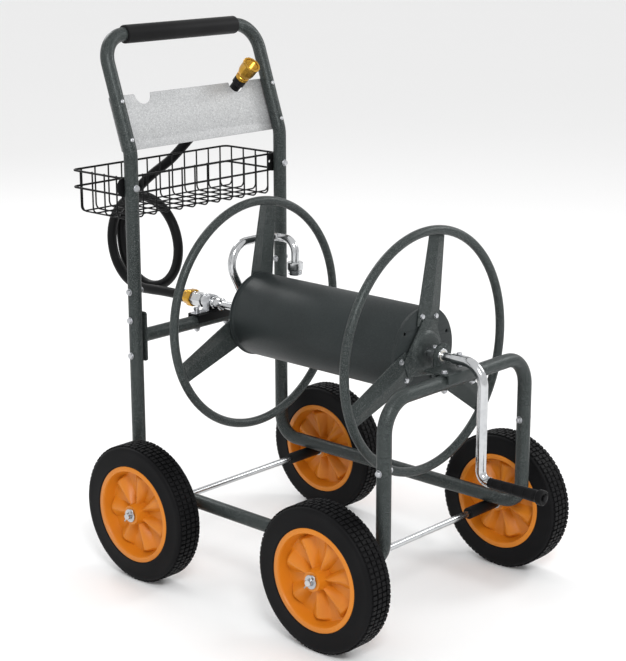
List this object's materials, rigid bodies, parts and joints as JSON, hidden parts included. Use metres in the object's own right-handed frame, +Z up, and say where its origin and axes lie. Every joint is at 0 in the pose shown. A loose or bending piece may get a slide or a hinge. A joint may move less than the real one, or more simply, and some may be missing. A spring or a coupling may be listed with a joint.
{
  "type": "garden hose reel cart",
  "caption": "Wheeled garden hose reel cart with crank-wound reel, swivel inlet with leader hose, wire basket, notched tool panel and push handle.",
  "frame": {"origin": "on the ground below the middle of the cart, measured without its leader hose", "axes": "+X across the cart along the axles, +Y back towards the handle along the reel's axis, +Z up"},
  "size_m": [0.579, 1.0774, 0.9812],
  "materials": {
    "powder_coat": "hammered dark grey-green powder coat with fine silver veins",
    "grip_foam": "matte closed-cell foam",
    "panel_steel": "light grey speckled coat, satin",
    "zinc_fasteners": "bright zinc plate",
    "chrome_parts": "polished chrome plate",
    "black_paint": "satin black coat",
    "bush_plastic": "natural nylon",
    "brass_parts": "machined brass",
    "ferrule_black": "black coated crimp sleeve",
    "hose_rubber": "satin black rubber",
    "grip_rubber": "matte ribbed rubber",
    "rim_plastic": "satin orange moulded plastic",
    "tyre_rubber": "matte black rubber"
  },
  "bodies": {
    "cart": {"side_frame_left": "powder_coat", "side_frame_right": "powder_coat", "front_hoop": "powder_coat", "handle_frame": "powder_coat", "handle_grip": "grip_foam", "tool_panel": "panel_steel", "panel_screws": "zinc_fasteners", "rear_crossbar": "powder_coat", "crossbar_bolts": "zinc_fasteners", "joint_bolts": "zinc_fasteners", "axle_sleeves": "black_paint", "axle_rear": "chrome_parts", "axle_front": "chrome_parts", "axle_washers": "zinc_fasteners", "cotter_pins": "zinc_fasteners", "basket": "black_paint", "basket_brackets": "black_paint", "basket_bolts": "zinc_fasteners", "rear_saddle": "black_paint", "rear_saddle_bolts": "zinc_fasteners", "swivel_body": "chrome_parts", "swivel_clamp": "zinc_fasteners", "front_bearing_bracket": "black_paint", "bearing_bush": "bush_plastic", "front_bracket_bolts": "zinc_fasteners", "inlet_ferrule": "ferrule_black", "leader_hose": "hose_rubber", "hose_end_ferrule": "ferrule_black"},
    "reel": {"drum_shell": "powder_coat", "drum_cap_front": "powder_coat", "drum_cap_rear": "powder_coat", "front_spokes": "powder_coat", "rear_spokes": "powder_coat", "front_hub_plate": "powder_coat", "rear_hub_plate": "powder_coat", "flange_hoop_front": "powder_coat", "flange_hoop_rear": "powder_coat", "spoke_bolts": "zinc_fasteners", "reel_shaft": "chrome_parts", "swivel_stem": "chrome_parts", "gooseneck_pipe": "chrome_parts", "outlet_fitting": "chrome_parts", "crank_arm": "chrome_parts", "crank_bolt": "zinc_fasteners"},
    "crank_handle": {"crank_grip": "grip_rubber"},
    "wheel_rear_left": {"rim_rear_left": "rim_plastic", "tyre_rear_left": "tyre_rubber"},
    "wheel_rear_right": {"rim_rear_right": "rim_plastic", "tyre_rear_right": "tyre_rubber"},
    "wheel_front_left": {"rim_front_left": "rim_plastic", "tyre_front_left": "tyre_rubber"},
    "wheel_front_right": {"rim_front_right": "rim_plastic", "tyre_front_right": "tyre_rubber"},
    "inlet_nut": {"inlet_coupling_nut": "brass_parts"},
    "end_nut": {"hose_end_coupling": "brass_parts"},
    "lock_screw": {"reel_lock_screw": "zinc_fasteners"}
  },
  "joints": [
    {"name": "reel_spin", "type": "hinge", "parent": "cart", "child": "reel", "pos_m": [0, -0.013, 0.459], "axis": [0, 1, 0], "continuous": true},
    {"name": "crank_grip_spin", "type": "hinge", "parent": "reel", "child": "crank_handle", "pos_m": [0, -0.41, 0.259], "axis": [0, 1, 0], "continuous": true},
    {"name": "inlet_nut_spin", "type": "hinge", "parent": "cart", "child": "inlet_nut", "pos_m": [0, 0.364, 0.459], "axis": [0, 1, 0], "continuous": true},
    {"name": "end_nut_spin", "type": "hinge", "parent": "cart", "child": "end_nut", "pos_m": [0.118, 0.31016, 0.89604], "axis": [0, -0.7071, 0.7071], "continuous": true},
    {"name": "lock_screw_turn", "type": "hinge", "parent": "cart", "child": "lock_screw", "pos_m": [0, -0.233, 0.435], "axis": [0, 0, 1], "continuous": true},
    {"name": "wheel_rear_left_spin", "type": "hinge", "parent": "cart", "child": "wheel_rear_left", "pos_m": [-0.249, 0.2365, 0.127], "axis": [1, 0, 0], "continuous": true},
    {"name": "wheel_rear_right_spin", "type": "hinge", "parent": "cart", "child": "wheel_rear_right", "pos_m": [0.249, 0.2365, 0.127], "axis": [1, 0, 0], "continuous": true},
    {"name": "wheel_front_left_spin", "type": "hinge", "parent": "cart", "child": "wheel_front_left", "pos_m": [-0.249, -0.2055, 0.127], "axis": [1, 0, 0], "continuous": true},
    {"name": "wheel_front_right_spin", "type": "hinge", "parent": "cart", "child": "wheel_front_right", "pos_m": [0.249, -0.2055, 0.127], "axis": [1, 0, 0], "continuous": true}
  ]
}
